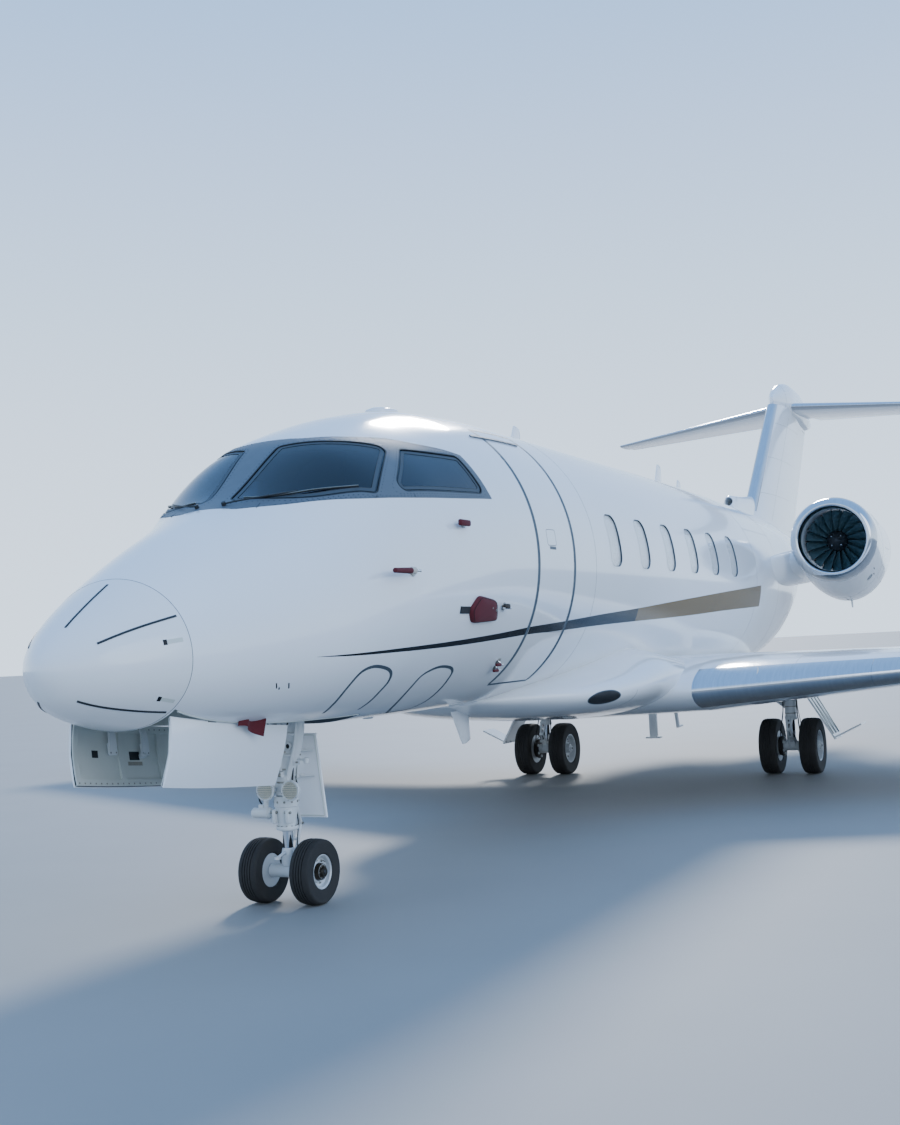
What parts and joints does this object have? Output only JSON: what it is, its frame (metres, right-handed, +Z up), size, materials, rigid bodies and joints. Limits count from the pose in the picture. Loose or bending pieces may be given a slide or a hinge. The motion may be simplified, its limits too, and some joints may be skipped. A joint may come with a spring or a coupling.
{
  "type": "business jet",
  "caption": "Twin-engine business jet with swept low wing, canted winglets, rear nacelles and T-tail, standing on twin-wheel tricycle gear.",
  "frame": {"origin": "on the ground, below the middle of the length, on the centre plane", "axes": "+X to port, -Y towards the nose, +Z up"},
  "size_m": [21.0264, 20.88, 6.1331],
  "materials": {
    "white_paint": "glossy white paint with a dark and bronze-grey side stripe",
    "white_composite": "the same glossy white paint over composite skins",
    "polished_edge": "polished bare metal",
    "dark_metal": "dark heat-resistant metal",
    "pane_glass": "tinted cockpit glazing",
    "window_shade": "cabin panes with white shades drawn",
    "gear_paint": "light grey landing gear paint",
    "wheel_metal": "silver painted wheel castings",
    "tyre_rubber": "black aircraft tyre",
    "cabin_trim": "grey interior trim and seats",
    "panel_black": "black instrument panel and glareshield"
  },
  "bodies": {
    "airframe": {"forward_fuselage": "white_paint", "cabin_fuselage": "white_paint", "aft_fuselage": "white_paint", "belly_fairing": "white_paint", "fin": "white_paint", "rudder": "white_paint", "nose_cone": "white_composite", "tail_bullet": "white_composite", "wing_port": "white_paint", "flap_port": "white_paint", "aileron_port": "white_paint", "winglet_port": "white_composite", "tailplane_port": "white_composite", "elevator_port": "white_composite", "nacelle_cowl_port": "white_composite", "engine_pylon_port": "white_composite", "main_gear_door_port": "white_paint", "wing_leading_edge_port": "polished_edge", "intake_lip_port": "polished_edge", "engine_port": "dark_metal", "windshield_port": "pane_glass", "side_window_port": "pane_glass", "cabin_windows_port": "window_shade", "main_gear_leg_port": "gear_paint", "wing_starboard": "white_paint", "flap_starboard": "white_paint", "aileron_starboard": "white_paint", "winglet_starboard": "white_composite", "tailplane_starboard": "white_composite", "elevator_starboard": "white_composite", "nacelle_cowl_starboard": "white_composite", "engine_pylon_starboard": "white_composite", "main_gear_door_starboard": "white_paint", "wing_leading_edge_starboard": "polished_edge", "intake_lip_starboard": "polished_edge", "engine_starboard": "dark_metal", "windshield_starboard": "pane_glass", "side_window_starboard": "pane_glass", "cabin_windows_starboard": "window_shade", "main_gear_leg_starboard": "gear_paint", "cabin_floor": "cabin_trim", "instrument_panel": "panel_black", "nose_gear_bay": "gear_paint", "nose_gear_leg": "gear_paint"},
    "steered_nose_gear": {"nose_gear_piston": "gear_paint"},
    "nose_wheels": {"nose_wheel_hubs": "wheel_metal", "nose_tyre_port": "tyre_rubber", "nose_tyre_starboard": "tyre_rubber"},
    "airstair": {"airstair_door": "white_paint"},
    "main_wheels_port": {"main_wheel_hubs_port": "wheel_metal", "main_tyre_inner_port": "tyre_rubber", "main_tyre_outer_port": "tyre_rubber"},
    "engine_fan_port": {"fan_port": "dark_metal"},
    "nose_door_port": {"nose_gear_door_port": "white_paint"},
    "main_wheels_starboard": {"main_wheel_hubs_starboard": "wheel_metal", "main_tyre_inner_starboard": "tyre_rubber", "main_tyre_outer_starboard": "tyre_rubber"},
    "engine_fan_starboard": {"fan_starboard": "dark_metal"},
    "nose_door_starboard": {"nose_gear_door_starboard": "white_paint"}
  },
  "joints": [
    {"name": "nose_steering", "type": "hinge", "parent": "airframe", "child": "steered_nose_gear", "pos_m": [0, -8.105, 0.75], "axis": [0, 0, 1], "range_deg": [-65, 65]},
    {"name": "nose_wheel_spin", "type": "hinge", "parent": "steered_nose_gear", "child": "nose_wheels", "pos_m": [0, -8.105, 0.225], "axis": [1, 0, 0], "continuous": true},
    {"name": "airstair_hinge", "type": "hinge", "parent": "airframe", "child": "airstair", "pos_m": [0.6725, -5.735, 1.4088], "axis": [0, 1, 0], "range_deg": [0, 118]},
    {"name": "main_wheel_spin_port", "type": "hinge", "parent": "airframe", "child": "main_wheels_port", "pos_m": [1.593, 0.32, 0.33], "axis": [1, 0, 0], "continuous": true},
    {"name": "fan_spin_port", "type": "hinge", "parent": "airframe", "child": "engine_fan_port", "pos_m": [1.7636, 3.05918, 2.905], "axis": [-0.0523, 0.9986, 0], "continuous": true},
    {"name": "nose_door_hinge_port", "type": "hinge", "parent": "airframe", "child": "nose_door_port", "pos_m": [0.4, -9.2075, 1.32466], "axis": [0, 0.9932, -0.1166], "range_deg": [0, 70]},
    {"name": "main_wheel_spin_starboard", "type": "hinge", "parent": "airframe", "child": "main_wheels_starboard", "pos_m": [-1.593, 0.32, 0.33], "axis": [1, 0, 0], "continuous": true},
    {"name": "fan_spin_starboard", "type": "hinge", "parent": "airframe", "child": "engine_fan_starboard", "pos_m": [-1.7636, 3.05918, 2.905], "axis": [0.0523, 0.9986, 0], "continuous": true},
    {"name": "nose_door_hinge_starboard", "type": "hinge", "parent": "airframe", "child": "nose_door_starboard", "pos_m": [-0.4, -9.2075, 1.32466], "axis": [0, -0.9932, 0.1166], "range_deg": [0, 70]}
  ]
}
